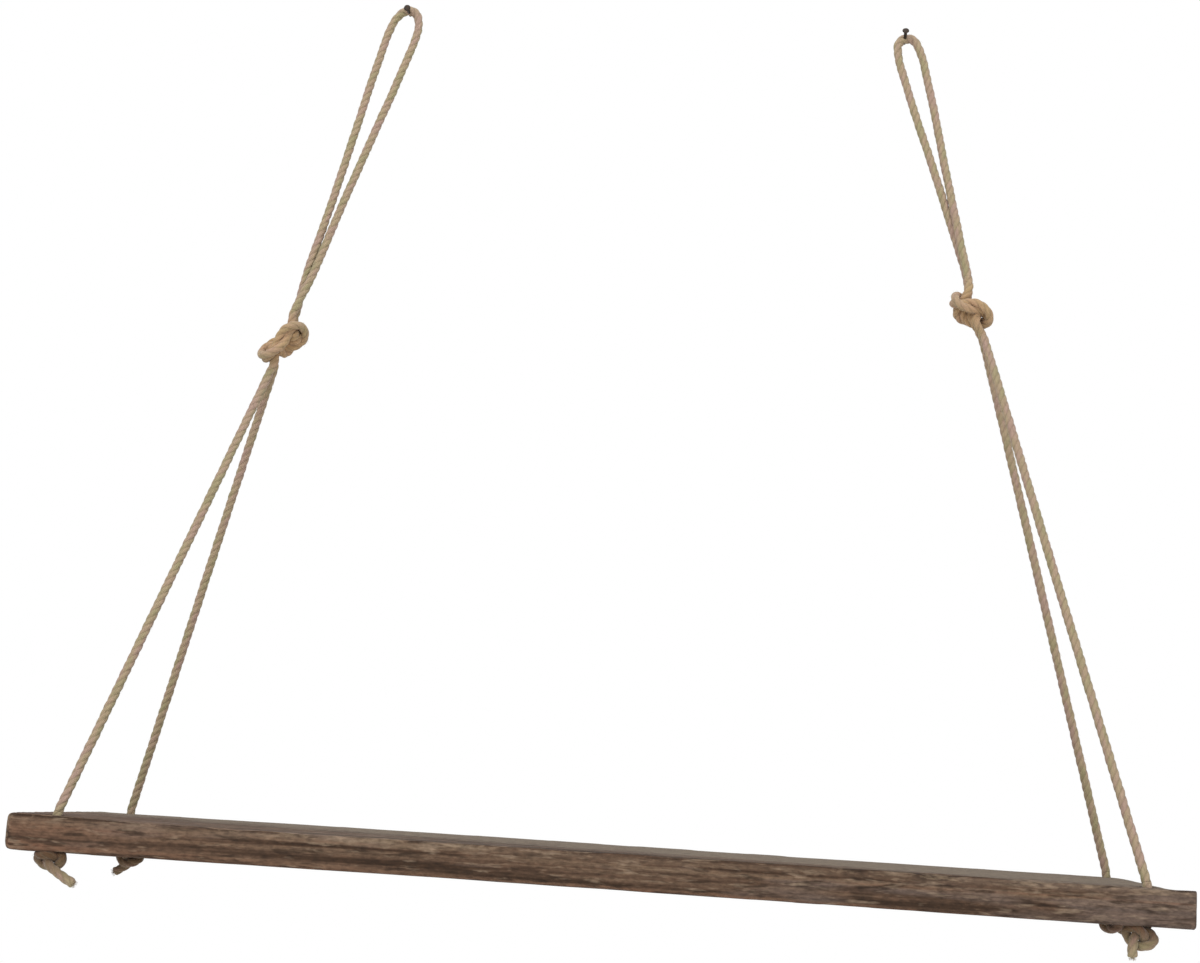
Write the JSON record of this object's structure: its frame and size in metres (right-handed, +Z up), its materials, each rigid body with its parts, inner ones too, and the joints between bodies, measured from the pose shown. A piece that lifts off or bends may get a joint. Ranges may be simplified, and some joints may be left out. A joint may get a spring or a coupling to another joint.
{
  "type": "hanging rope shelf",
  "caption": "Weathered wooden plank hung by knotted jute ropes that pass through its corners and loop over wall nails; it swings and sways on its ropes.",
  "frame": {"origin": "on the wall's face, midway between the two nails both across and in height", "axes": "+X to the right along the plank, +Y into the wall, +Z up"},
  "size_m": [0.7, 0.1931, 0.6181],
  "materials": {
    "weathered_wood": "unfinished, dry and weathered, worn edges",
    "jute_rope": "three-strand twisted jute, fuzzy",
    "dark_steel": "dark oxidised steel nails"
  },
  "bodies": {
    "nails": {"left_nail": "dark_steel", "right_nail": "dark_steel"},
    "rope_bights": {"left_nail_bight": "jute_rope", "right_nail_bight": "jute_rope"},
    "left_sling": {"left_loop_left_strand": "jute_rope", "left_loop_right_strand": "jute_rope", "left_gather_knot": "jute_rope", "left_front_leg": "jute_rope", "left_back_leg": "jute_rope"},
    "right_sling": {"right_loop_left_strand": "jute_rope", "right_loop_right_strand": "jute_rope", "right_gather_knot": "jute_rope", "right_front_leg": "jute_rope", "right_back_leg": "jute_rope"},
    "board": {"shelf_board": "weathered_wood", "left_front_stopper_knot": "jute_rope", "left_back_stopper_knot": "jute_rope", "right_front_stopper_knot": "jute_rope", "right_back_stopper_knot": "jute_rope"}
  },
  "joints": [
    {"name": "swing_from_wall", "type": "hinge", "parent": "nails", "child": "rope_bights", "pos_m": [0, -0.004, 0.0039], "axis": [-0.9998, 0, 0.0209], "range_deg": [0, 40]},
    {"name": "left_sling_sway", "type": "hinge", "parent": "rope_bights", "child": "left_sling", "pos_m": [-0.175, -0.004, 0.00755], "axis": [0, -1, 0], "range_deg": [-4, 4]},
    {"name": "right_sling_sway", "type": "hinge", "parent": "rope_bights", "child": "right_sling", "pos_m": [0.175, -0.004, 0.00025], "axis": [0, -1, 0], "range_deg": [-4.1, 4.1]},
    {"name": "board_level", "type": "hinge", "parent": "left_sling", "child": "board", "pos_m": [-0.324, -0.0825, -0.5611], "axis": [0, -1, 0], "range_deg": [-2.2, 2.2]}
  ],
  "couplings": [
    {"joint": "right_sling_sway", "follows": "left_sling_sway", "ratio": 1.013},
    {"joint": "board_level", "follows": "left_sling_sway", "ratio": -0.5293}
  ]
}
